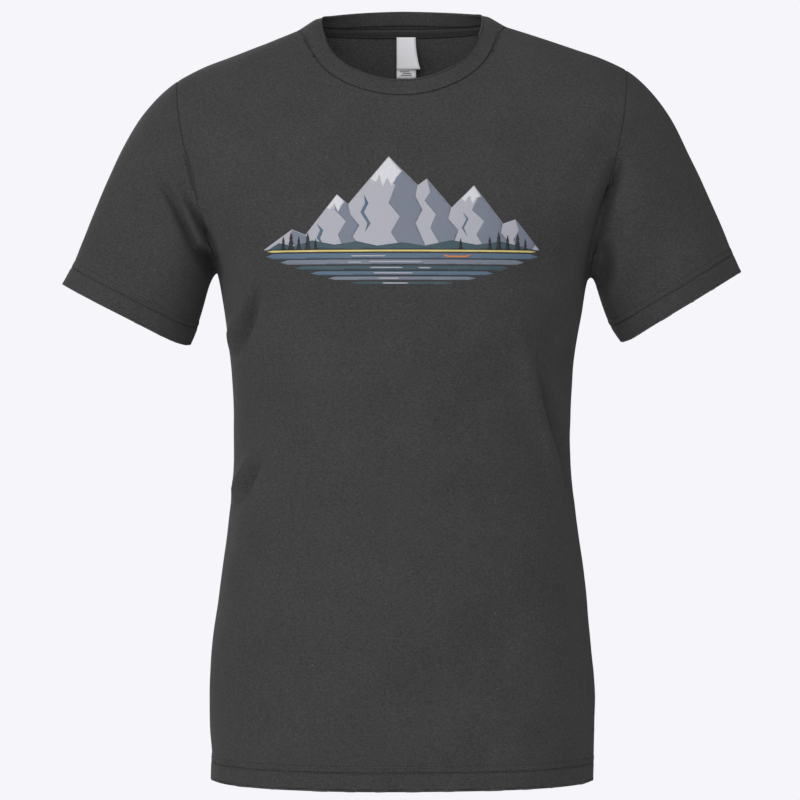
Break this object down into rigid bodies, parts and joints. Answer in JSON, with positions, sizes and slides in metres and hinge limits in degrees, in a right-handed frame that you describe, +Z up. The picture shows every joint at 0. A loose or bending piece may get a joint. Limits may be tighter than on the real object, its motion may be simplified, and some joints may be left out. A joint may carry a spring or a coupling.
{
  "type": "t-shirt",
  "caption": "Short-sleeved crew-neck T-shirt in dark grey jersey, hanging as on a wearer, with rib neckband, turned hems, inside seams, neck labels and a chest print.",
  "frame": {"origin": "middle of the neck, level with the points where the shoulder seams meet the neckband", "axes": "+Z up along the body; the chest faces -Y; the wearer's left sleeve lies towards +X"},
  "size_m": [0.6268, 0.2416, 0.7157],
  "materials": {
    "jersey": "dark grey cotton single jersey, matte, fine knit grain",
    "rib": "dark grey cotton 1x1 rib, matte",
    "seam_thread": "dark grey overlocked edges and jersey tape, matte",
    "label_satin": "white woven satin, soft sheen",
    "print_ink": "screen print ink, matte, soft cracks"
  },
  "bodies": {
    "root": {"front_panel": "jersey", "back_panel": "jersey", "sleeve_left": "jersey", "sleeve_right": "jersey", "body_hem_fold": "jersey", "sleeve_hem_fold_left": "jersey", "sleeve_hem_fold_right": "jersey", "neckband": "rib", "neck_tape": "seam_thread", "shoulder_tape_left": "seam_thread", "shoulder_tape_right": "seam_thread", "side_seam_left": "seam_thread", "side_seam_right": "seam_thread", "armhole_seam_left": "seam_thread", "armhole_seam_right": "seam_thread", "underarm_seam_left": "seam_thread", "underarm_seam_right": "seam_thread", "size_label": "label_satin", "maker_label": "label_satin", "chest_print": "print_ink"}
  },
  "joints": []
}
